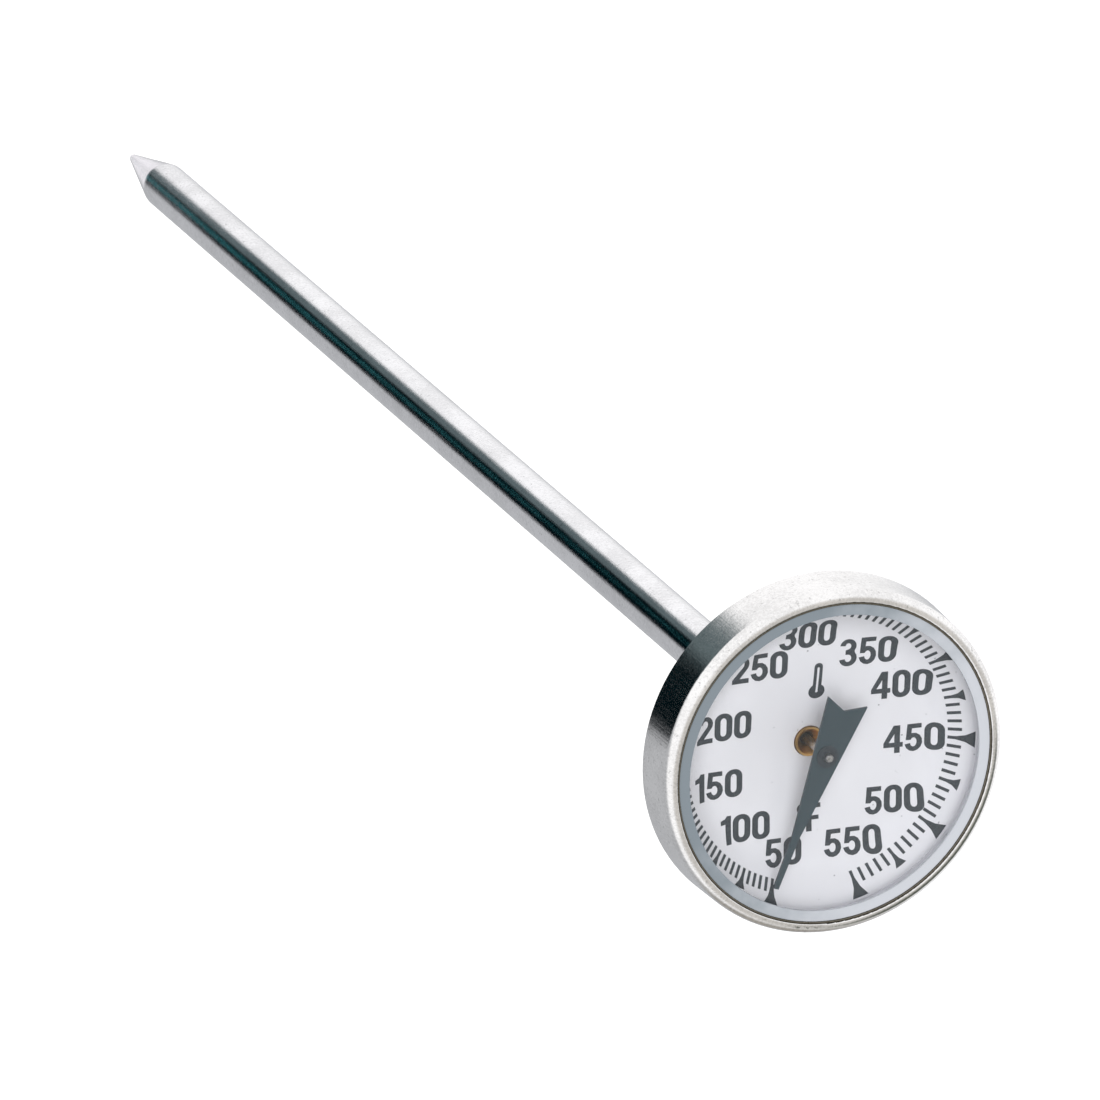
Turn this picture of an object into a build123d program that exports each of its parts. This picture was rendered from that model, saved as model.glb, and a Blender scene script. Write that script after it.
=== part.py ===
from build123d import *
import math
import os

# Pocket dial thermometer: a stainless probe stem, a bimetal coil that turns a spindle
# inside it, and a small round head with a dished dial, pointer and window.
# Millimetres. The stem's axis is Z. The origin is where the plain stem meets the nut's
# lower face, +Z points out of the dial, +Y to 12 o'clock and +X to 3 o'clock.

# ---- stem ----
STEM_R = 1.85                # plain stem, outside
STEM_BORE_R = 1.45
STEM_LENGTH = 125.5          # straight part below the nut
TIP_LENGTH = 8.3             # closed point below the straight part
TIP_END_R = 0.32             # rounding radius of the blunt end
TIP_SHOULDER = 0.6           # length over which the cone blends into the stem
TIP_BLEND = 0.07             # how far that blend comes in from the stem's side
TIP_SPIGOT = 4.0             # plug that goes up into the tube
NECK_R = 1.65                # turned-down neck, inside the nut and the head
NECK_TOP = 6.2

# ---- head, depths measured down from the lip plane at its front ----
HEAD_TOP = 12.12             # lip plane above the origin
CASE_R = 12.70               # outside of the case at its rear, a 25.4 mm head
CASE_FRONT_R = 12.56         # where the wall meets the roll, after a little draft
CASE_WALL = 0.35
CASE_DEPTH = 4.17            # lip plane to the rear corner
ROLL_R = 0.72                # rolled front edge of the bezel
NOSE_R = 0.10                # rounding of its inner edge
CRIMP_R = 11.90              # bore of the inturned rear edge
CRIMP_THICK = 0.25
REAR_CHAMFER = 0.08
PART_GAP = 0.02              # assembly gap between pieces of the head

WINDOW_R = 11.60             # bore of the retaining ring, the visible window
RETAINER_OUT_R = 11.72
RETAINER_ROUND = 0.05
RETAINER_TOP = 0.05
GASKET_IN_R = 10.82
GASKET_TOP = 0.15
LENS_R = 11.90
LENS_TOP = 0.37
LENS_THICK = 0.40
WALL_IN_R = 11.53            # bore of the spacer ring, the visible inner wall

# ---- dial: a dished middle, a nearly flat numeral band, a raised tick band and a flat clamped rim ----
DIAL_CURVE = [(1.12, 4.82), (3.1, 4.30), (5.2, 3.90), (7.0, 3.74), (8.6, 3.59), (9.73, 3.04), (WALL_IN_R, 2.00)]
DIAL_THICK = 0.30
DIAL_RIM_R = 12.15

# ---- case back ----
BACK_WALL_IN_R = 11.95
BACK_THICK = 0.40
BACK_FLAT_R = 5.2            # flat middle that bears on the nut's washer
BACK_FLAT_Z = 5.5
BACK_HOLE_R = 1.75
BACK_BULGE = 0.35            # how far the cone of the back bows outwards

# ---- nut, washer and clamp collar ----
NUT_FLATS = 8.0
NUT_HEIGHT = 5.2
NUT_CHAMFER = 0.55
NUT_MOUTH_R = 1.90           # chamfered mouth of its bore, clear of the stem's shoulder
WASHER_R = 3.3
WASHER_THICK = 0.14
WASHER_RISE = 0.10
COLLAR_R = 3.3
RUNNING_GAP = 0.05

# ---- head bush, the brass eye in the middle of the dial ----
BUSH_BOTTOM = 3.0
BUSH_NOSE_R = 1.06
BUSH_NOSE_DEPTH = 4.62       # its front face, below the lip plane
BUSH_FLANGE_R = 1.65
BUSH_FLANGE_THICK = 0.20
BUSH_SINK_R = 0.92           # countersink at the front face
BUSH_SINK_DEPTH = 0.75
BUSH_BORE_R = 0.38

# ---- spindle and its pieces ----
SPINDLE_R = 0.30
SPINDLE_BOTTOM = -117.0
SPINDLE_TOP_DEPTH = 1.08     # its front end, below the lip plane
SPINDLE_ROUND = 0.10
GUIDE_BORE_R = 0.36
GUIDE_HEIGHT = 2.0
GUIDE_Z = {"lower_guide": -74.0, "upper_guide": -20.0}
SPINDLE_COLLAR_R = 0.75
SPINDLE_COLLAR_HEIGHT = 1.2

# ---- bimetal coil ----
COIL_R = 1.12                # mean radius of the helix
COIL_STRIP = (0.14, 1.00)    # strip thickness and width
COIL_PITCH = 1.60
COIL_TURNS = 23
COIL_BOTTOM = -118.0
ANCHOR_DISC = 1.5
ANCHOR_RING = (0.92, 1.32)   # inner and outer radius of the anchor's ring
COLLET_R = 0.95
COLLET_HEIGHT = 3.0

# ---- pointer, drawn along +X and turned to its rest angle ----
POINTER_TOP_DEPTH = 1.57     # upper face, below the lip plane
POINTER_THICK = 0.20
POINTER_TIP = 10.0
POINTER_TAIL = 4.1
POINTER_NOTCH = 3.4          # the tail's V runs in to here
POINTER_TAIL_HALF = 1.57
POINTER_NECK = 6.2           # where the taper ends and the fine blade begins
POINTER_NECK_HALF = 0.27
POINTER_TIP_HALF = 0.19
POINTER_REST_CLOCK = 199.0   # degrees clockwise from 12 o'clock, just past the lowest mark
HUB_R = 0.75
HUB_DROP = 0.60              # hub below the plate
CAP_R = 0.80
CAP_RISE = 0.06


def turned(*edges):
    """One solid of revolution about Z from edges drawn in the X-Z plane."""
    outline = Wire(list(edges))
    return revolve(Face(outline), axis=Axis.Z, revolution_arc=360)


def turned_polygon(points):
    """A solid of revolution from (radius, z) corners."""
    corners = [(r, 0, z) for r, z in points]
    return revolve(Face(Wire.make_polygon(corners, close=True)), axis=Axis.Z, revolution_arc=360)


def ring(inner_r, outer_r, low, high):
    """A plain tube between two heights."""
    return turned_polygon([(inner_r, low), (outer_r, low), (outer_r, high), (inner_r, high)])


def line(start, end):
    return Edge.make_line((start[0], 0, start[1]), (end[0], 0, end[1]))


def arc(start, middle, end):
    return Edge.make_three_point_arc(*[(r, 0, z) for r, z in (start, middle, end)])


def corner_arc(centre, radius, start_deg, end_deg):
    """An arc about a centre in the X-Z plane, by its angles from +X."""
    angles = [start_deg, (start_deg + end_deg) / 2, end_deg]
    points = [
        (centre[0] + radius * math.cos(math.radians(a)), centre[1] + radius * math.sin(math.radians(a)))
        for a in angles
    ]
    return arc(*points)


def stem_tube():
    """The probe tube: plain outside, turned down to a neck where the nut and the head sit."""
    return turned_polygon([
        (STEM_BORE_R, -STEM_LENGTH),
        (STEM_R, -STEM_LENGTH),
        (STEM_R, 0),
        (NECK_R, 0),
        (NECK_R, NECK_TOP),
        (STEM_BORE_R, NECK_TOP),
    ])


def stem_tip():
    """The closed end: a long cone with a blunt round point, and a spigot up inside the tube."""
    shoulder_z = -STEM_LENGTH
    end_z = shoulder_z - TIP_LENGTH
    centre_z = end_z + TIP_END_R
    blend = (STEM_R - TIP_BLEND / 4, shoulder_z - TIP_SHOULDER / 2)
    cone_top = (STEM_R - TIP_BLEND, shoulder_z - TIP_SHOULDER)
    slope = math.atan2(cone_top[0] - TIP_END_R, cone_top[1] - centre_z)
    touch_deg = -math.degrees(slope)
    touch = (
        TIP_END_R * math.cos(math.radians(touch_deg)),
        centre_z + TIP_END_R * math.sin(math.radians(touch_deg)),
    )
    return turned(
        corner_arc((0, centre_z), TIP_END_R, -90, touch_deg),
        line(touch, cone_top),
        arc(cone_top, blend, (STEM_R, shoulder_z)),
        line((STEM_R, shoulder_z), (STEM_BORE_R, shoulder_z)),
        line((STEM_BORE_R, shoulder_z), (STEM_BORE_R, shoulder_z + TIP_SPIGOT)),
        line((STEM_BORE_R, shoulder_z + TIP_SPIGOT), (0, shoulder_z + TIP_SPIGOT)),
        line((0, shoulder_z + TIP_SPIGOT), (0, end_z)),
    )


def coil_anchor():
    """The fixed lower end of the coil: a disc on the spigot with an upstanding ring."""
    bottom = -STEM_LENGTH + TIP_SPIGOT
    ring_top = COIL_BOTTOM - COIL_STRIP[1] / 2
    inner, outer = ANCHOR_RING
    return turned_polygon([
        (0, bottom),
        (STEM_BORE_R, bottom),
        (STEM_BORE_R, bottom + ANCHOR_DISC),
        (outer, bottom + ANCHOR_DISC),
        (outer, ring_top),
        (inner, ring_top),
        (inner, bottom + ANCHOR_DISC),
        (0, bottom + ANCHOR_DISC),
    ])


def bimetal_coil():
    """The bimetal strip wound edge-on into a long helix around the spindle."""
    path = Helix(pitch=COIL_PITCH, height=COIL_PITCH * COIL_TURNS, radius=COIL_R)
    start = Plane(origin=path @ 0, x_dir=(1, 0, 0), z_dir=path % 0)
    strip = start * Rectangle(*COIL_STRIP)
    return Pos(0, 0, COIL_BOTTOM) * sweep(strip, path=path, is_frenet=True)


def coil_top():
    return COIL_BOTTOM + COIL_PITCH * COIL_TURNS


def coil_collet():
    """Crimped on the spindle inside the coil's last turns; the strip's free end is spot-welded to it."""
    top = coil_top() + 1.0
    return ring(SPINDLE_R, COLLET_R, top - COLLET_HEIGHT, top)


def spindle():
    """The long thin shaft from the coil to the pointer, with a rounded front end."""
    top = HEAD_TOP - SPINDLE_TOP_DEPTH
    flank = (SPINDLE_R, top - SPINDLE_ROUND)
    return turned(
        line((0, SPINDLE_BOTTOM), (SPINDLE_R, SPINDLE_BOTTOM)),
        line((SPINDLE_R, SPINDLE_BOTTOM), flank),
        corner_arc((SPINDLE_R - SPINDLE_ROUND, top - SPINDLE_ROUND), SPINDLE_ROUND, 0, 90),
        line((SPINDLE_R - SPINDLE_ROUND, top), (0, top)),
        line((0, top), (0, SPINDLE_BOTTOM)),
    )


def guide(bottom):
    """A bearing ring pressed into the tube, with a running bore for the spindle."""
    return ring(GUIDE_BORE_R, STEM_BORE_R, bottom, bottom + GUIDE_HEIGHT)


def spindle_collar():
    """A stop ring on the spindle, just above the upper guide."""
    bottom = GUIDE_Z["upper_guide"] + GUIDE_HEIGHT + RUNNING_GAP
    return ring(SPINDLE_R, SPINDLE_COLLAR_R, bottom, bottom + SPINDLE_COLLAR_HEIGHT)


def head_bush():
    """The brass bearing in the mouth of the stem; its countersunk nose shows through the dial."""
    front = HEAD_TOP - BUSH_NOSE_DEPTH
    flange_top = NECK_TOP + BUSH_FLANGE_THICK
    return turned_polygon([
        (BUSH_BORE_R, BUSH_BOTTOM),
        (STEM_BORE_R, BUSH_BOTTOM),
        (STEM_BORE_R, NECK_TOP),
        (BUSH_FLANGE_R, NECK_TOP),
        (BUSH_FLANGE_R, flange_top),
        (BUSH_NOSE_R, flange_top),
        (BUSH_NOSE_R, front),
        (BUSH_SINK_R, front),
        (BUSH_BORE_R, front - BUSH_SINK_DEPTH),
    ])


def calibration_nut():
    """The hexagon below the head, chamfered at both ends; it holds the stem while the head is turned."""
    hexagon = extrude(RegularPolygon(NUT_FLATS / 2, 6, major_radius=False), NUT_HEIGHT)
    corner_r = NUT_FLATS / 2 / math.cos(math.radians(30))
    rim = corner_r - NUT_CHAMFER
    drop = NUT_CHAMFER * math.tan(math.radians(30))
    barrel = turned_polygon([
        (NECK_R, NUT_MOUTH_R - NECK_R),
        (NUT_MOUTH_R, 0),
        (rim, 0),
        (corner_r, drop),
        (corner_r, NUT_HEIGHT - drop),
        (rim, NUT_HEIGHT),
        (NECK_R, NUT_HEIGHT),
    ])
    return hexagon & barrel


def friction_washer():
    """A dished spring washer between the nut and the case back."""
    low = NUT_HEIGHT
    return turned_polygon([
        (NECK_R + PART_GAP, low + WASHER_RISE),
        (WASHER_R, low),
        (WASHER_R, low + WASHER_THICK),
        (NECK_R + PART_GAP, low + WASHER_RISE + WASHER_THICK),
    ])


def stem_collar():
    """The clamp ring pressed on the neck inside the case, which holds the head on the stem."""
    bottom = BACK_FLAT_Z + BACK_THICK + RUNNING_GAP
    return ring(NECK_R, COLLAR_R, bottom, NECK_TOP)


def bezel():
    """The spun outer shell: drafted wall, rolled front edge with a round nose, and inturned rear edge."""
    rear = HEAD_TOP - CASE_DEPTH
    inside_r = CASE_R - CASE_WALL
    roll_centre = (CASE_FRONT_R - ROLL_R, HEAD_TOP - ROLL_R)
    inner_roll = ROLL_R - CASE_WALL
    nose_centre = (roll_centre[0], HEAD_TOP - NOSE_R)
    bore = roll_centre[0] - NOSE_R
    under_lip = roll_centre[1] + inner_roll
    return turned(
        line((inside_r, rear + CRIMP_THICK), (CRIMP_R, rear + CRIMP_THICK)),
        line((CRIMP_R, rear + CRIMP_THICK), (CRIMP_R, rear)),
        line((CRIMP_R, rear), (CASE_R - REAR_CHAMFER, rear)),
        line((CASE_R - REAR_CHAMFER, rear), (CASE_R, rear + REAR_CHAMFER)),
        line((CASE_R, rear + REAR_CHAMFER), (CASE_FRONT_R, roll_centre[1])),
        corner_arc(roll_centre, ROLL_R, 0, 90),
        corner_arc(nose_centre, NOSE_R, 90, 180),
        line((bore, nose_centre[1]), (bore, under_lip)),
        line((bore, under_lip), (roll_centre[0], under_lip)),
        corner_arc(roll_centre, inner_roll, 90, 0),
        line((roll_centre[0] + inner_roll, roll_centre[1]), (inside_r, rear + CRIMP_THICK)),
    )


def dial_plate():
    """The dial: a dished middle, a nearly flat numeral band and a raised tick band, with a flat rim."""
    upper = [(r, HEAD_TOP - depth) for r, depth in DIAL_CURVE]
    under = [(r, z - DIAL_THICK) for r, z in upper]
    rim_z = upper[-1][1]
    return turned(
        Edge.make_spline([(r, 0, z) for r, z in upper]),
        line(upper[-1], (DIAL_RIM_R, rim_z)),
        line((DIAL_RIM_R, rim_z), (DIAL_RIM_R, rim_z - DIAL_THICK)),
        line((DIAL_RIM_R, rim_z - DIAL_THICK), under[-1]),
        Edge.make_spline([(r, 0, z) for r, z in reversed(under)]),
        line(under[0], upper[0]),
    )


def case_back():
    """The rear cup: a wall that carries the dial's rim and a bowed cone down to the nut's washer."""
    outside_r = CASE_FRONT_R - CASE_WALL - PART_GAP
    wall_top = HEAD_TOP - DIAL_CURVE[-1][1] - DIAL_THICK
    step = HEAD_TOP - CASE_DEPTH + CRIMP_THICK
    cone_start = (CRIMP_R - RUNNING_GAP, step)
    cone_end = (BACK_FLAT_R, BACK_FLAT_Z)
    bow = ((cone_start[0] + cone_end[0]) / 2, (cone_start[1] + cone_end[1]) / 2 - BACK_BULGE)
    inside = [(r, z + BACK_THICK) for r, z in (cone_end, bow, cone_start)]
    inner_floor = BACK_FLAT_Z + BACK_THICK
    return turned(
        line((outside_r, wall_top), (outside_r, step)),
        line((outside_r, step), cone_start),
        arc(cone_start, bow, cone_end),
        line(cone_end, (BACK_HOLE_R, BACK_FLAT_Z)),
        line((BACK_HOLE_R, BACK_FLAT_Z), (BACK_HOLE_R, inner_floor)),
        line((BACK_HOLE_R, inner_floor), inside[0]),
        arc(*inside),
        line(inside[2], (BACK_WALL_IN_R, inside[2][1])),
        line((BACK_WALL_IN_R, inside[2][1]), (BACK_WALL_IN_R, wall_top)),
        line((BACK_WALL_IN_R, wall_top), (outside_r, wall_top)),
    )


def retainer_ring():
    """The thin bright ring round the window; it presses the lens home."""
    bottom = HEAD_TOP - LENS_TOP
    top = HEAD_TOP - RETAINER_TOP
    round_z = top - RETAINER_ROUND
    return turned(
        line((WINDOW_R, bottom), (RETAINER_OUT_R, bottom)),
        line((RETAINER_OUT_R, bottom), (RETAINER_OUT_R, round_z)),
        corner_arc((RETAINER_OUT_R - RETAINER_ROUND, round_z), RETAINER_ROUND, 0, 90),
        line((RETAINER_OUT_R - RETAINER_ROUND, top), (WINDOW_R + RETAINER_ROUND, top)),
        corner_arc((WINDOW_R + RETAINER_ROUND, round_z), RETAINER_ROUND, 90, 180),
        line((WINDOW_R, round_z), (WINDOW_R, bottom)),
    )


def lens_gasket():
    """The grey flat ring on the rim of the lens, inside the retaining ring."""
    return ring(GASKET_IN_R, WINDOW_R - PART_GAP, HEAD_TOP - LENS_TOP, HEAD_TOP - GASKET_TOP)


def lens():
    """The clear window."""
    top = HEAD_TOP - LENS_TOP
    disc = Cylinder(LENS_R, LENS_THICK, align=(Align.CENTER, Align.CENTER, Align.MAX))
    return Pos(0, 0, top) * disc


def spacer_ring():
    """Holds the lens off the dial's rim; its bore is the wall that shows under the window."""
    outer_r = CASE_FRONT_R - CASE_WALL - PART_GAP
    dial_rim_z = HEAD_TOP - DIAL_CURVE[-1][1]
    return ring(WALL_IN_R, outer_r, dial_rim_z, HEAD_TOP - LENS_TOP - LENS_THICK)


def pointer_turned(shape):
    """Turn a piece drawn along +X to the pointer's rest angle."""
    return Rot(0, 0, 90 - POINTER_REST_CLOCK) * shape


def pointer():
    """The flat pointer: notched tail, long taper and a fine blade, on the spindle."""
    half = [
        (-POINTER_TAIL, POINTER_TAIL_HALF),
        (POINTER_NECK, POINTER_NECK_HALF),
        (POINTER_TIP, POINTER_TIP_HALF),
    ]
    outline = [(-POINTER_NOTCH, 0)] + half + [(x, -y) for x, y in reversed(half)]
    plate = extrude(make_face(Polyline(*outline, close=True)), POINTER_THICK)
    hole = Cylinder(SPINDLE_R, 4 * POINTER_THICK)
    bottom = HEAD_TOP - POINTER_TOP_DEPTH - POINTER_THICK
    return pointer_turned(Pos(0, 0, bottom) * (plate - hole))


def pointer_hub():
    """The collet under the pointer, pressed on the spindle."""
    plate_bottom = HEAD_TOP - POINTER_TOP_DEPTH - POINTER_THICK
    return ring(SPINDLE_R, HUB_R, plate_bottom - HUB_DROP, plate_bottom)


def hub_cap():
    """The small ring staked over the spindle on top of the pointer."""
    plate_top = HEAD_TOP - POINTER_TOP_DEPTH
    return ring(SPINDLE_R, CAP_R, plate_top, plate_top + CAP_RISE)


def build():
    nodes = {
        "stem_tube": stem_tube(),
        "stem_tip": stem_tip(),
        "coil_anchor": coil_anchor(),
        "bimetal_coil": bimetal_coil(),
        "head_bush": head_bush(),
        "calibration_nut": calibration_nut(),
        "friction_washer": friction_washer(),
        "stem_collar": stem_collar(),
        "bezel": bezel(),
        "case_back": case_back(),
        "retainer_ring": retainer_ring(),
        "lens_gasket": lens_gasket(),
        "lens": lens(),
        "spacer_ring": spacer_ring(),
        "dial_plate": dial_plate(),
        "spindle": spindle(),
        "spindle_collar": spindle_collar(),
        "coil_collet": coil_collet(),
        "pointer": pointer(),
        "pointer_hub": pointer_hub(),
        "hub_cap": hub_cap(),
    }
    for name, bottom in GUIDE_Z.items():
        nodes[name] = guide(bottom)
    return nodes


os.makedirs("parts", exist_ok=True)
for node_name, shape in build().items():
    export_step(shape, f"parts/{node_name}.step")
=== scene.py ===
import math

import bmesh
import bpy
from mathutils import Matrix, Vector
from mathutils.bvhtree import BVHTree


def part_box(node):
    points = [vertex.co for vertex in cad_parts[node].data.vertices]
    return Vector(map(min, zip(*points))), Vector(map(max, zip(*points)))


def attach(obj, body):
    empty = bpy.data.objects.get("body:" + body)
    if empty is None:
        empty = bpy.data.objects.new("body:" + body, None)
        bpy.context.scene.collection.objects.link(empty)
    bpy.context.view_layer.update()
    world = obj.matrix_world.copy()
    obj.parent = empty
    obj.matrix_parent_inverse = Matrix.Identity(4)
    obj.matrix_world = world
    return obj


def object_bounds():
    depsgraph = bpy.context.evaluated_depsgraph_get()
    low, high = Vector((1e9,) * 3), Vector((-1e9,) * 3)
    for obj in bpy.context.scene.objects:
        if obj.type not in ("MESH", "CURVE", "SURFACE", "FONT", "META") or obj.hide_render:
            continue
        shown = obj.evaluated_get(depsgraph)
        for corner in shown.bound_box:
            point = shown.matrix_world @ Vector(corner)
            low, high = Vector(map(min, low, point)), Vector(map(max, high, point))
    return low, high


# Pocket dial thermometer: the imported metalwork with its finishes, the printed dial and the studio.
# Everything is in metres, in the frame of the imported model: +Z out of the dial, +Y to 12 o'clock.

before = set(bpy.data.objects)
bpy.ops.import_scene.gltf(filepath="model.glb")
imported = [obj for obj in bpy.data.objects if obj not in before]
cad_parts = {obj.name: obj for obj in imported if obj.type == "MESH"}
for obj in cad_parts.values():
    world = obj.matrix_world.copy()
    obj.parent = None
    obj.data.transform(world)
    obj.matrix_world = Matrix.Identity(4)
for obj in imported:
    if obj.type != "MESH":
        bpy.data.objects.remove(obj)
cad_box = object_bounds()
MM = 0.001

# ---- camera ----
CAMERA_PLACE = Vector((-260.46, 232.10, 584.94)) * MM
CAMERA_AIM = Vector((-1.21, -1.34, -38.0)) * MM
CAMERA_UP = Vector((0.079, 0.944, -0.321))
CAMERA_LENS = 319.5

# ---- studio ----
FLOOR_DROP = 1.60
FLOOR_HALF = 12.0
FLOOR_GLOW = 0.30
SKY = 1.10
CAMERA_BEARING = math.atan2(CAMERA_PLACE.y, CAMERA_PLACE.x)
# bearing, elevation, radius of the full patch and of its faded edge, all in degrees, then the colour
STUDIO_PATCHES = [
    (180, 58, 20, 56, (0.66, 0.64, 0.61)),
    (180, 22, 12, 26, (0.12, 0.13, 0.11)),
    (108, -48, 42, 72, (0.50, 0.51, 0.53)),
    (140, -4, 8, 36, (0.38, 0.36, 0.33)),
    (0, -90, 9, 22, (1.04, 1.02, 1.06)),
    (10, -61, 14, 23, (0.115, 0.150, 0.160)),
    (32, -58, 12, 17, (0.0, 0.004, 0.006)),
    (31, -70, 3, 6.5, (0.06, 0.28, 0.31)),
]
FRONT_LIGHT = {"bearing": -2, "elevation": 60, "distance": 0.9, "size": 0.8, "power": 10.5}

# ---- dial print, in mm and in degrees clockwise from 12 o'clock ----
SCALE_LOW, SCALE_HIGH = 50, 550
SCALE_START = 197.5
SCALE_LINEAR, SCALE_SQUARE = 277.0, 48.0
TICK_STEP = 5
TICK_IN, TICK_OUT = 9.70, 10.55
SMALL_FLAG_OUT, BIG_FLAG_OUT = 10.95, 11.36
TICK_HALF = 0.112
SMALL_FLAG_HALF, BIG_FLAG_HALF = 0.44, 0.60
NUMERAL_HEIGHT = 2.03
NUMERAL_TURN = 2.0
NUMERAL_WIDTH = 1.06
INK_RISE, INK_SINK = 0.014, 0.010
GRID_REACH, GRID_STEP = 11.5, 0.5
RING_PLACE, RING_HEIGHT = (187.7, 4.72), 2.0
LETTER_PLACE, LETTER_HEIGHT = (183.2, 5.35), 1.95
SIGN_PLACE, SIGN_HEIGHT = (0.0, 4.70), 2.7
# where the middle of each numeral stands: clock angle and radius
NUMERALS = {
    50: (194.5, 7.84),
    100: (221.6, 7.41),
    150: (252.6, 7.48),
    200: (286.1, 7.22),
    250: (323.9, 7.64),
    300: (352.6, 8.38),
    350: (27.9, 7.59),
    400: (56.9, 7.41),
    450: (90.3, 7.39),
    500: (125.8, 7.59),
    550: (156.1, 7.95),
}


# ---------------------------------------------------------------- node helpers


class Shader:
    """A material's node tree with a Principled shader, and short calls that add nodes to it."""

    def __init__(self, name):
        self.material = bpy.data.materials.new(name)
        self.material.use_nodes = True
        self.tree = self.material.node_tree
        self.bsdf = self.tree.nodes["Principled BSDF"]

    def set(self, **values):
        for socket, value in values.items():
            self.bsdf.inputs[socket.replace("_", " ")].default_value = value

    def node(self, kind, **settings):
        made = self.tree.nodes.new("ShaderNode" + kind)
        for key, value in settings.items():
            setattr(made, key, value)
        return made

    def link(self, output, to):
        self.tree.links.new(output, to)

    def math(self, operation, a, b=0.0):
        made = self.node("Math", operation=operation)
        for socket, value in zip(made.inputs, (a, b)):
            if isinstance(value, (int, float)):
                socket.default_value = value
            else:
                self.link(value, socket)
        return made.outputs[0]

    def place(self):
        """The point on the piece, in metres."""
        return self.node("TexCoord").outputs["Object"]

    def parts(self, vector):
        split = self.node("SeparateXYZ")
        self.link(vector, split.inputs[0])
        return split.outputs

    def joined(self, x, y, z):
        join = self.node("CombineXYZ")
        for socket, value in zip(join.inputs, (x, y, z)):
            if isinstance(value, (int, float)):
                socket.default_value = value
            else:
                self.link(value, socket)
        return join.outputs[0]

    def scaled(self, vector, scale):
        mapping = self.node("Mapping")
        mapping.inputs["Scale"].default_value = scale
        self.link(vector, mapping.inputs["Vector"])
        return mapping.outputs[0]

    def noise(self, vector, scale=1.0, detail=3.0, roughness=0.55):
        made = self.node("TexNoise")
        made.inputs["Scale"].default_value = scale
        made.inputs["Detail"].default_value = detail
        made.inputs["Roughness"].default_value = roughness
        self.link(vector, made.inputs["Vector"])
        return made.outputs["Fac"]

    def ramp(self, value, low, high, to_low=0.0, to_high=1.0):
        made = self.node("MapRange", interpolation_type="SMOOTHSTEP")
        for socket, number in zip(list(made.inputs)[1:5], (low, high, to_low, to_high)):
            socket.default_value = number
        self.link(value, made.inputs[0])
        return made.outputs[0]

    def blend(self, factor, first, second):
        made = self.node("Mix", data_type="RGBA")
        self.link(factor, made.inputs["Factor"])
        for socket, colour in ((made.inputs[6], first), (made.inputs[7], second)):
            if isinstance(colour, tuple):
                socket.default_value = (*colour, 1)
            else:
                self.link(colour, socket)
        return made.outputs[2]

    def bump(self, height, distance, strength=1.0):
        made = self.node("Bump")
        made.inputs["Strength"].default_value = strength
        made.inputs["Distance"].default_value = distance
        self.link(height, made.inputs["Height"])
        self.link(made.outputs[0], self.bsdf.inputs["Normal"])

    def colour(self, output):
        self.link(output, self.bsdf.inputs["Base Color"])

    def roughness(self, output):
        self.link(output, self.bsdf.inputs["Roughness"])

    def bearing(self):
        """Coordinates that run round the axis, out from it and along it: turns, radius in m, height in m."""
        x, y, z = self.parts(self.place())
        turn = self.math("ARCTAN2", y, x)
        radius = self.math("SQRT", self.math("ADD", self.math("MULTIPLY", x, x), self.math("MULTIPLY", y, y)))
        return turn, radius, z


# ---------------------------------------------------------------- materials


def drawn_steel(name, tone, rough, turn_lines, axial_lines, pits):
    """Stainless with draw lines along the axis, turning lines round it, and fine pits."""
    s = Shader(name)
    s.set(Metallic=1.0)
    turn, radius, z = s.bearing()
    east, north = s.math("COSINE", turn), s.math("SINE", turn)
    along = s.noise(s.joined(s.math("MULTIPLY", east, axial_lines), s.math("MULTIPLY", north, axial_lines),
                             s.math("MULTIPLY", z, 60.0)), detail=5.0)
    around = s.noise(s.joined(s.math("MULTIPLY", radius, turn_lines), s.math("MULTIPLY", east, 1.2),
                              s.math("MULTIPLY", z, turn_lines)), detail=4.0)
    grain = s.noise(s.place(), scale=5200.0, detail=3.0, roughness=0.7)
    cloud = s.noise(s.place(), scale=260.0, detail=3.0)
    dark = tuple(c * 0.86 for c in tone)
    light = tuple(min(1.0, c * 1.06) for c in tone)
    mottle = s.math("ADD", s.math("MULTIPLY", cloud, 0.45), s.math("MULTIPLY", grain, 0.55))
    fleck = s.ramp(s.noise(s.place(), scale=3300.0, detail=2.0), 0.63, 0.71, 0.0, 0.55)
    s.colour(s.blend(fleck, s.blend(s.ramp(mottle, 0.38, 0.62), dark, light), tuple(c * 0.55 for c in tone)))
    tooth = s.math("ADD", s.math("MULTIPLY", along, 0.5), s.math("MULTIPLY", grain, 0.5))
    point_haze = s.ramp(z, -0.124, -0.096, 2.3, 1.0)
    s.roughness(s.math("MULTIPLY", s.ramp(tooth, 0.3, 0.7, rough * 0.75, rough * 1.35), point_haze))
    lines = s.math("ADD", s.math("MULTIPLY", along, 0.5), s.math("MULTIPLY", around, 0.5))
    s.bump(s.math("ADD", lines, s.math("MULTIPLY", grain, pits)), 0.000007)
    return s.material


def brass():
    s = Shader("turned_brass")
    s.set(Metallic=1.0)
    _, radius, z = s.bearing()
    rings = s.noise(s.joined(s.math("MULTIPLY", radius, 16000.0), 0.0, s.math("MULTIPLY", z, 16000.0)))
    cloud = s.noise(s.place(), scale=1500.0)
    gold = s.blend(cloud, (0.60, 0.33, 0.10), (0.92, 0.60, 0.24))
    # Within about half a millimetre of the axis the brass goes almost black: painted shadow in the bore.
    s.colour(s.blend(s.ramp(radius, 0.00038, 0.00056), (0.05, 0.03, 0.015), gold))
    s.roughness(s.ramp(rings, 0.3, 0.7, 0.22, 0.42))
    s.bump(rings, 0.000006)
    return s.material


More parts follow.
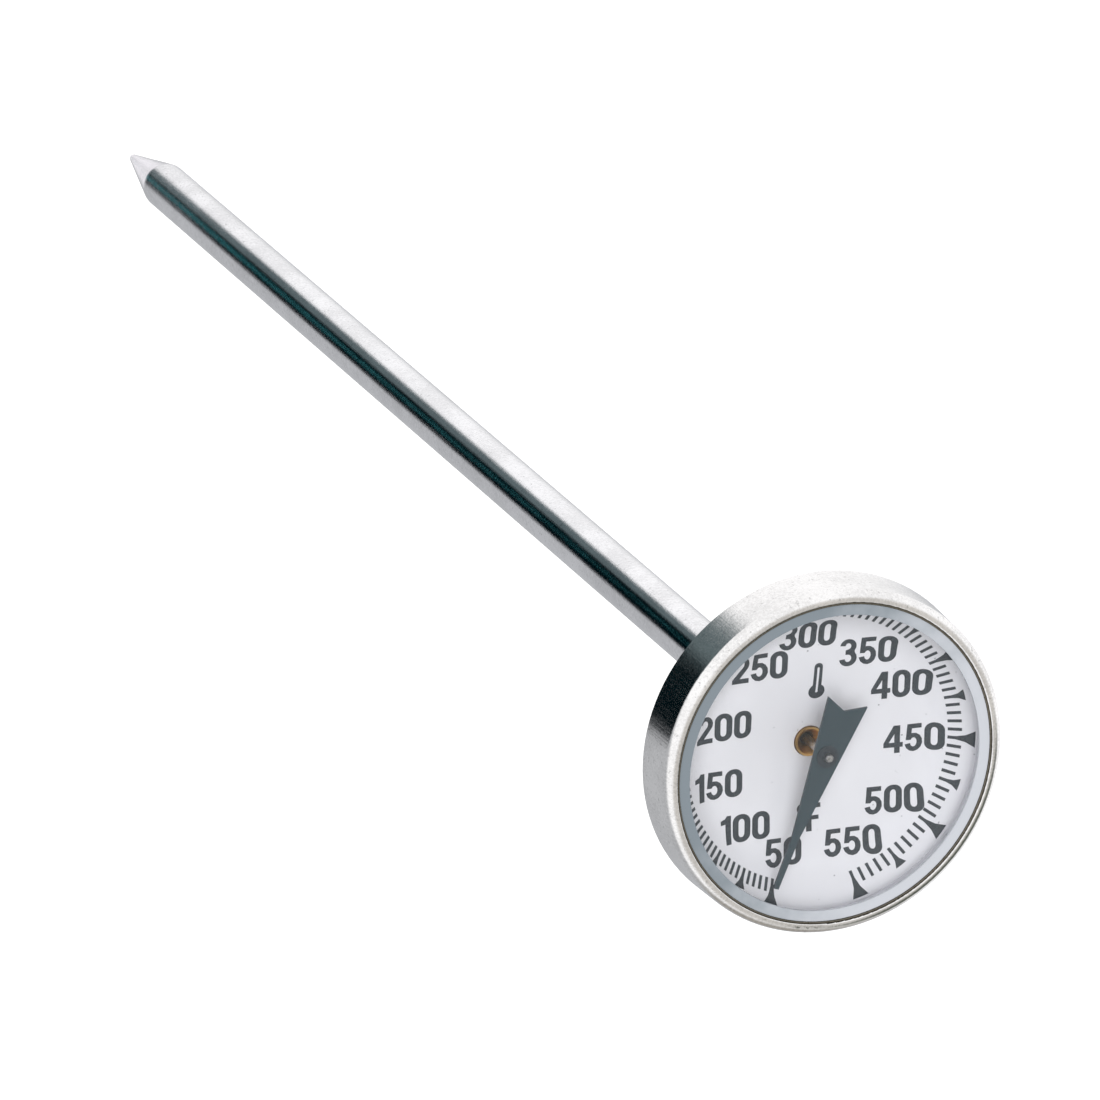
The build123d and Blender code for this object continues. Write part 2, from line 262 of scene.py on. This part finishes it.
def enamel():
    """The dial's white print ground: faint cloud, fine tooth and a few specks."""
    s = Shader("dial_white")
    cloud = s.noise(s.place(), scale=420.0, detail=4.0)
    tooth = s.noise(s.place(), scale=9000.0, detail=2.0)
    speck = s.ramp(s.noise(s.place(), scale=2600.0, detail=1.0), 0.765, 0.80)
    white = s.blend(cloud, (0.745, 0.740, 0.785), (0.785, 0.778, 0.820))
    s.colour(s.blend(speck, white, (0.30, 0.30, 0.33)))
    s.roughness(s.ramp(cloud, 0.3, 0.7, 0.42, 0.58))
    s.bump(tooth, 0.000004)
    return s.material


def paint(name, low, high, rough, scale, tooth):
    """Ink or paint with a fine mottle between two colours."""
    s = Shader(name)
    mottle = s.noise(s.place(), scale=scale, detail=5.0, roughness=0.65)
    s.colour(s.blend(s.ramp(mottle, 0.35, 0.65), low, high))
    s.roughness(s.ramp(mottle, 0.3, 0.7, rough * 0.85, rough * 1.15))
    s.bump(mottle, tooth)
    return s.material


def gasket():
    """Milky grey ring with soft patches; painted light and shadow make it paler towards 4 o'clock and darker
    towards 10 o'clock.
    """
    s = Shader("gasket_grey")
    x, y, _ = s.parts(s.place())
    across = s.math("SUBTRACT", s.math("MULTIPLY", x, 0.90), s.math("MULTIPLY", y, 0.44))
    patches = s.math("MULTIPLY", s.math("SUBTRACT", s.noise(s.place(), scale=420.0, detail=4.0), 0.5), 0.012)
    # Painted light and shadow: the grey runs from dark at 10 o'clock to pale at 4 o'clock.
    painted_light_across = s.ramp(s.math("ADD", across, patches), -0.008, 0.009)
    s.colour(s.blend(painted_light_across, (0.135, 0.160, 0.180), (0.37, 0.385, 0.415)))
    s.set(Roughness=0.35)
    s.bump(s.noise(s.place(), scale=2500.0), 0.000006)
    return s.material


def clear_glass():
    """The window: it passes light straight through and mirrors the little that glass does."""
    s = Shader("window_clear")
    tree = s.tree
    clear = s.node("BsdfTransparent")
    clear.inputs["Color"].default_value = (0.985, 0.99, 0.99, 1)
    mirror = s.node("BsdfGlossy")
    film = s.noise(s.place(), scale=900.0, detail=4.0)
    s.link(s.ramp(film, 0.3, 0.7, 0.02, 0.07), mirror.inputs["Roughness"])
    fresnel = s.node("Fresnel")
    fresnel.inputs["IOR"].default_value = 1.46
    mix = s.node("MixShader")
    s.link(fresnel.outputs[0], mix.inputs[0])
    s.link(clear.outputs[0], mix.inputs[1])
    s.link(mirror.outputs[0], mix.inputs[2])
    tree.nodes.remove(s.bsdf)
    s.link(mix.outputs[0], tree.nodes["Material Output"].inputs["Surface"])
    return s.material


STEEL = (0.85, 0.845, 0.855)
FINISHES = {
    "stem_steel": drawn_steel("stem_steel", STEEL, 0.085, 900.0, 70.0, 1.0),
    "case_steel": drawn_steel("case_steel", (0.86, 0.85, 0.84), 0.13, 2600.0, 150.0, 0.8),
    # The retainer ring's steel is made almost black: painted shadow, the dark line in the gap at the window's
    # edge.
    "ring_steel_painted_shadow": drawn_steel("ring_steel_painted_shadow", (0.17, 0.155, 0.125), 0.30, 4000.0, 30.0, 0.3),
    "inner_steel": drawn_steel("inner_steel", (0.55, 0.56, 0.58), 0.24, 1500.0, 60.0, 0.4),
    "shaft_steel": drawn_steel("shaft_steel", (0.62, 0.62, 0.63), 0.30, 3000.0, 20.0, 0.3),
    "bimetal": drawn_steel("bimetal_strip", (0.60, 0.57, 0.51), 0.32, 1500.0, 40.0, 0.6),
    "brass": brass(),
    "polymer": paint("guide_polymer", (0.62, 0.60, 0.55), (0.70, 0.68, 0.62), 0.5, 3000.0, 0.000004),
    "enamel": enamel(),
    "ink": paint("dial_ink", (0.018, 0.026, 0.036), (0.040, 0.052, 0.064), 0.5, 5200.0, 0.000004),
    "pointer": paint("pointer_slate", (0.026, 0.048, 0.062), (0.036, 0.062, 0.078), 0.42, 6500.0, 0.000005),
    "gasket": gasket(),
    "glass": clear_glass(),
}
NODE_FINISH = {
    "stem_tube": "stem_steel",
    "stem_tip": "stem_steel",
    "calibration_nut": "case_steel",
    "bezel": "case_steel",
    "case_back": "case_steel",
    "retainer_ring": "ring_steel_painted_shadow",
    "lens_gasket": "gasket",
    "lens": "glass",
    "spacer_ring": "enamel",
    "dial_plate": "enamel",
    "head_bush": "brass",
    "pointer": "pointer",
    "hub_cap": "ink",
    "pointer_hub": "brass",
    "spindle": "shaft_steel",
    "spindle_collar": "brass",
    "coil_collet": "brass",
    "coil_anchor": "inner_steel",
    "bimetal_coil": "bimetal",
    "lower_guide": "polymer",
    "upper_guide": "polymer",
    "friction_washer": "inner_steel",
    "stem_collar": "inner_steel",
}


def finish_nodes():
    for node, finish in NODE_FINISH.items():
        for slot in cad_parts[node].material_slots:
            slot.material = FINISHES[finish]


# ---------------------------------------------------------------- glyphs
# Bold, narrow digits one unit high, drawn as loops: the outline first, then any counter.

ARC_STEPS = 10


def arc(centre, radii, start, end, steps=ARC_STEPS):
    """Points on an ellipse from one angle to another, in degrees."""
    angles = [math.radians(start + (end - start) * i / steps) for i in range(steps + 1)]
    return [(centre[0] + radii[0] * math.cos(a), centre[1] + radii[1] * math.sin(a)) for a in angles]


def stadium(width, height, corner, inset):
    """A rounded rectangle standing on the baseline, drawn in by an inset."""
    left, right = inset[0], width - inset[0]
    low, high = inset[1], height - inset[1]
    rx, ry = corner
    loop = []
    for x, y, start in ((right - rx, low + ry, -90), (right - rx, high - ry, 0),
                        (left + rx, high - ry, 90), (left + rx, low + ry, 180)):
        loop += arc((x, y), (rx, ry), start, start + 90, 6)
    return loop


def zero():
    return [stadium(0.62, 1.0, (0.29, 0.27), (0, 0)), stadium(0.62, 1.0, (0.10, 0.14), (0.205, 0.17))]


def one():
    return [[(0.17, 0), (0.37, 0), (0.37, 1.0), (0.22, 1.0), (0.16, 0.90), (0.0, 0.84), (0.0, 0.69),
             (0.17, 0.71)]]


def two():
    outer = arc((0.30, 0.70), (0.29, 0.30), 172, -38)
    inner = arc((0.30, 0.70), (0.105, 0.145), -42, 172)
    return [outer + [(0.27, 0.17), (0.59, 0.17), (0.59, 0), (0.0, 0), (0.0, 0.15)] + inner]


def three():
    outer = arc((0.29, 0.735), (0.285, 0.265), 172, -38) + arc((0.29, 0.295), (0.305, 0.295), 42, -172)
    inner = arc((0.29, 0.295), (0.115, 0.135), -172, 85) + [(0.20, 0.43), (0.20, 0.595)]
    return [outer + inner + arc((0.29, 0.735), (0.10, 0.115), -85, 172)]


def four():
    outline = [(0.33, 1.0), (0.55, 1.0), (0.55, 0.38), (0.65, 0.38), (0.65, 0.21), (0.55, 0.21), (0.55, 0),
               (0.36, 0), (0.36, 0.21), (0.0, 0.21), (0.0, 0.37)]
    return [outline, [(0.36, 0.38), (0.36, 0.70), (0.175, 0.38)]]


def five():
    head = [(0.08, 1.0), (0.57, 1.0), (0.57, 0.835), (0.245, 0.835), (0.225, 0.655)]
    outer = arc((0.30, 0.335), (0.305, 0.335), 100, -170)
    inner = arc((0.30, 0.335), (0.115, 0.17), -170, 150)
    return [head + outer + inner + [(0.035, 0.43)]]


def letter_f():
    return [[(0, 0), (0.20, 0), (0.20, 0.42), (0.46, 0.42), (0.46, 0.57), (0.20, 0.57), (0.20, 0.84),
             (0.54, 0.84), (0.54, 1.0), (0, 1.0)]]


def pictogram():
    """A plain thermometer sign: a bulb with a tube above it, and the column showing through."""
    outline = arc((0, -0.30), (0.21, 0.21), 122, 418, 20) + arc((0, 0.40), (0.11, 0.11), 0, 180, 8)
    column = arc((0, -0.30), (0.035, 0.035), 140, 400, 12) + arc((0, 0.36), (0.03, 0.03), 0, 180, 6)
    return [outline, column]


def degree_ring():
    return [arc((0, 0), (0.17, 0.17), 0, 345, 23), arc((0, 0), (0.11, 0.11), 0, 345, 23)]


DIGITS = {"0": (zero(), 0.62), "1": (one(), 0.37), "2": (two(), 0.59), "3": (three(), 0.595),
          "4": (four(), 0.65), "5": (five(), 0.605)}
DIGIT_GAP = 0.065


def word_loops(text):
    """The loops of a numeral, with its middle at the origin, one unit high."""
    width = sum(DIGITS[c][1] for c in text) + DIGIT_GAP * (len(text) - 1)
    x, loops = -width / 2, []
    for c in text:
        outline, advance = DIGITS[c]
        loops.append([[(px + x, py - 0.5) for px, py in loop] for loop in outline])
        x += advance + DIGIT_GAP
    return loops


# ---------------------------------------------------------------- print on the dial

dial_tree = BVHTree.FromObject(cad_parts["dial_plate"], bpy.context.evaluated_depsgraph_get())
DIAL_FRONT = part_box("lens")[0].z


def dial_height(x, y):
    """Height of the dial's front face below a point, in metres."""
    hit = dial_tree.ray_cast(Vector((x, y, DIAL_FRONT)), Vector((0, 0, -1)))
    return hit[0].z


def clock_point(clock, radius):
    """A point in the dial's plane, in mm, from its clock angle and radius."""
    a = math.radians(clock)
    return radius * math.sin(a), radius * math.cos(a)


def scale_clock(value):
    """Clock angle of a value on the scale, which opens out towards its high end."""
    share = (value - SCALE_LOW) / (SCALE_HIGH - SCALE_LOW)
    return SCALE_START + SCALE_LINEAR * share + SCALE_SQUARE * share * share


def add_flat(bm, loops, move):
    """Fill one shape's loops with flat faces. move takes the shape's units to mm in the dial's plane."""
    edges = []
    for loop in loops:
        verts = [bm.verts.new((*move(x, y), 0)) for x, y in loop]
        edges += [bm.edges.new((a, b)) for a, b in zip(verts, verts[1:] + verts[:1])]
    bmesh.ops.triangle_fill(bm, edges=edges, use_beauty=True, use_dissolve=False)


def cut_grid(bm):
    """Cut flat faces along a square grid, so that they can follow the dish."""
    lines = int(GRID_REACH / GRID_STEP)
    for axis in (Vector((1, 0, 0)), Vector((0, 1, 0))):
        for i in range(-lines, lines + 1):
            geometry = bm.verts[:] + bm.edges[:] + bm.faces[:]
            bmesh.ops.bisect_plane(bm, geom=geometry, plane_co=axis * i * GRID_STEP, plane_no=axis,
                                   dist=1e-5)


def lay_on_dial(name, bm):
    """Turn flat faces in mm into thin closed ink that lies on the dish."""
    bmesh.ops.remove_doubles(bm, verts=bm.verts[:], dist=1e-4)
    bmesh.ops.recalc_face_normals(bm, faces=bm.faces[:])
    for face in bm.faces:
        if face.normal.z < 0:
            face.normal_flip()
    top = bm.faces[:]
    made = bmesh.ops.extrude_face_region(bm, geom=top)
    raised = [g for g in made["geom"] if isinstance(g, bmesh.types.BMVert)]
    raised_set = set(raised)
    for vert in bm.verts:
        x, y = vert.co.x * MM, vert.co.y * MM
        shift = INK_RISE if vert in raised_set else -INK_SINK
        vert.co = Vector((x, y, dial_height(x, y) + shift * MM))
    bmesh.ops.recalc_face_normals(bm, faces=bm.faces[:])
    mesh = bpy.data.meshes.new(name)
    bm.to_mesh(mesh)
    bm.free()
    piece = bpy.data.objects.new(name, mesh)
    bpy.context.scene.collection.objects.link(piece)
    mesh.materials.append(FINISHES["ink"])
    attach(piece, "head")
    return piece


def radial(clock):
    """A move from (across, radius) in mm to the dial's plane."""
    a = math.radians(clock)
    out = (math.sin(a), math.cos(a))

    def move(across, radius):
        return out[0] * radius + out[1] * across, out[1] * radius - out[0] * across
    return move


def flag_loop(half, out):
    """A tick that opens into a flare at its outer end."""
    waist = TICK_IN + 0.55 * (TICK_OUT - TICK_IN)
    middle = waist + 0.5 * (out - waist)
    return [(-TICK_HALF, TICK_IN), (TICK_HALF, TICK_IN), (TICK_HALF, waist), (half * 0.42, middle),
            (half, out), (0, out + 0.02), (-half, out), (-half * 0.42, middle), (-TICK_HALF, waist)]


def print_scale():
    ticks, flags = bmesh.new(), bmesh.new()
    for value in range(SCALE_LOW, SCALE_HIGH + 1, TICK_STEP):
        move = radial(scale_clock(value))
        if value % 50 == 0:
            add_flat(flags, [flag_loop(BIG_FLAG_HALF, BIG_FLAG_OUT)], move)
        elif value % 25 == 0:
            add_flat(flags, [flag_loop(SMALL_FLAG_HALF, SMALL_FLAG_OUT)], move)
        else:
            loop = [(-TICK_HALF, TICK_IN), (TICK_HALF, TICK_IN),
                    (TICK_HALF, TICK_OUT), (-TICK_HALF, TICK_OUT)]
            add_flat(ticks, [loop], move)
    for name, bm in (("scale_ticks", ticks), ("scale_flags", flags)):
        cut_grid(bm)
        lay_on_dial(name, bm)


def placed(clock, radius, height, turn):
    """A move that stands a shape of unit height upright at a place on the dial."""
    x0, y0 = clock_point(clock, radius)
    c, s = math.cos(math.radians(turn)) * height, math.sin(math.radians(turn)) * height

    def move(x, y):
        return x0 + c * x * NUMERAL_WIDTH - s * y, y0 + s * x * NUMERAL_WIDTH + c * y
    return move


def print_numerals():
    for value, (clock, radius) in NUMERALS.items():
        bm = bmesh.new()
        for loops in word_loops(str(value)):
            add_flat(bm, loops, placed(clock, radius, NUMERAL_HEIGHT, NUMERAL_TURN))
        cut_grid(bm)
        lay_on_dial(f"numeral_{value:03d}", bm)


def print_unit():
    """The degree ring and F below the middle."""
    bm = bmesh.new()
    add_flat(bm, degree_ring(), placed(*RING_PLACE, RING_HEIGHT, NUMERAL_TURN))
    letter = [[(x, y - 0.5) for x, y in letter_f()[0]]]
    add_flat(bm, letter, placed(*LETTER_PLACE, LETTER_HEIGHT, NUMERAL_TURN))
    cut_grid(bm)
    lay_on_dial("unit_mark", bm)


def print_pictogram():
    bm = bmesh.new()
    add_flat(bm, pictogram(), placed(*SIGN_PLACE, SIGN_HEIGHT, NUMERAL_TURN))
    cut_grid(bm)
    lay_on_dial("sign_mark", bm)


# ---------------------------------------------------------------- studio


def studio_direction(bearing, elevation):
    """A unit vector, from degrees round from the camera's bearing and degrees up."""
    a, e = CAMERA_BEARING + math.radians(bearing), math.radians(elevation)
    return Vector((math.cos(a) * math.cos(e), math.sin(a) * math.cos(e), math.sin(e)))


def studio_world():
    """Soft white all round, with grey and dark patches and a small teal one, which the metal mirrors."""
    world = bpy.data.worlds.new("studio")
    bpy.context.scene.world = world
    world.use_nodes = True
    tree = world.node_tree
    direction = tree.nodes.new("ShaderNodeTexCoord").outputs["Generated"]
    background = tree.nodes["Background"]

    def lobe(behind, bearing, elevation, inner, outer, colour):
        """Lay a soft round patch of colour over what is behind it. Angles in degrees."""
        dot = tree.nodes.new("ShaderNodeVectorMath")
        dot.operation = "DOT_PRODUCT"
        tree.links.new(direction, dot.inputs[0])
        dot.inputs[1].default_value = studio_direction(bearing, elevation)
        edge = tree.nodes.new("ShaderNodeMapRange")
        edge.interpolation_type = "SMOOTHSTEP"
        edge.inputs[1].default_value = math.cos(math.radians(outer))
        edge.inputs[2].default_value = math.cos(math.radians(inner))
        tree.links.new(dot.outputs["Value"], edge.inputs[0])
        mix = tree.nodes.new("ShaderNodeMix")
        mix.data_type = "RGBA"
        tree.links.new(edge.outputs[0], mix.inputs["Factor"])
        if isinstance(behind, tuple):
            mix.inputs[6].default_value = (*behind, 1)
        else:
            tree.links.new(behind, mix.inputs[6])
        mix.inputs[7].default_value = (*colour, 1)
        return mix.outputs[2]

    light = (SKY, SKY, SKY * 1.01)
    for patch in STUDIO_PATCHES:
        light = lobe(light, *patch)
    tree.links.new(light, background.inputs["Color"])


def floor():
    low, _ = cad_box
    height = low.z - FLOOR_DROP
    corners = [(-FLOOR_HALF, -FLOOR_HALF), (FLOOR_HALF, -FLOOR_HALF), (FLOOR_HALF, FLOOR_HALF),
               (-FLOOR_HALF, FLOOR_HALF)]
    mesh = bpy.data.meshes.new("floor")
    mesh.from_pydata([(x, y, height) for x, y in corners], [], [(0, 1, 2, 3)])
    sheet = bpy.data.objects.new("floor", mesh)
    bpy.context.scene.collection.objects.link(sheet)
    s = Shader("floor_paper")
    cloud = s.noise(s.place(), scale=3.0)
    s.colour(s.blend(cloud, (0.925, 0.925, 0.925), (0.935, 0.935, 0.935)))
    s.set(Roughness=0.9, Emission_Color=(1.0, 1.0, 1.0, 1.0), Emission_Strength=FLOOR_GLOW)
    mesh.materials.append(s.material)
    sheet.visible_glossy = False


def softbox(name, bearing, elevation, distance, size, power):
    """A square area light that points at the head, placed by its direction and distance from it."""
    towards = studio_direction(bearing, elevation)
    data = bpy.data.lights.new(name, "AREA")
    data.size = size
    data.energy = power
    lamp = bpy.data.objects.new(name, data)
    lamp.location = Vector((0, 0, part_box("bezel")[1].z)) + towards * distance
    lamp.rotation_euler = (-towards).to_track_quat("-Z", "Y").to_euler()
    lamp.visible_glossy = False
    bpy.context.scene.collection.objects.link(lamp)


def camera():
    data = bpy.data.cameras.new("camera")
    data.lens = CAMERA_LENS
    data.sensor_width = 36.0
    data.clip_start, data.clip_end = 0.01, 100.0
    made = bpy.data.objects.new("camera", data)
    made.location = CAMERA_PLACE
    back = (made.location - CAMERA_AIM).normalized()
    right = CAMERA_UP.cross(back).normalized()
    up = back.cross(right)
    turn = Matrix((right, up, back)).transposed()
    made.rotation_euler = turn.to_euler()
    bpy.context.scene.collection.objects.link(made)
    bpy.context.scene.camera = made


camera()
studio_world()
floor()
finish_nodes()
print_scale()
print_numerals()
print_unit()
print_pictogram()
softbox("front_light", **FRONT_LIGHT)
bpy.context.scene.view_settings.view_transform = "Standard"
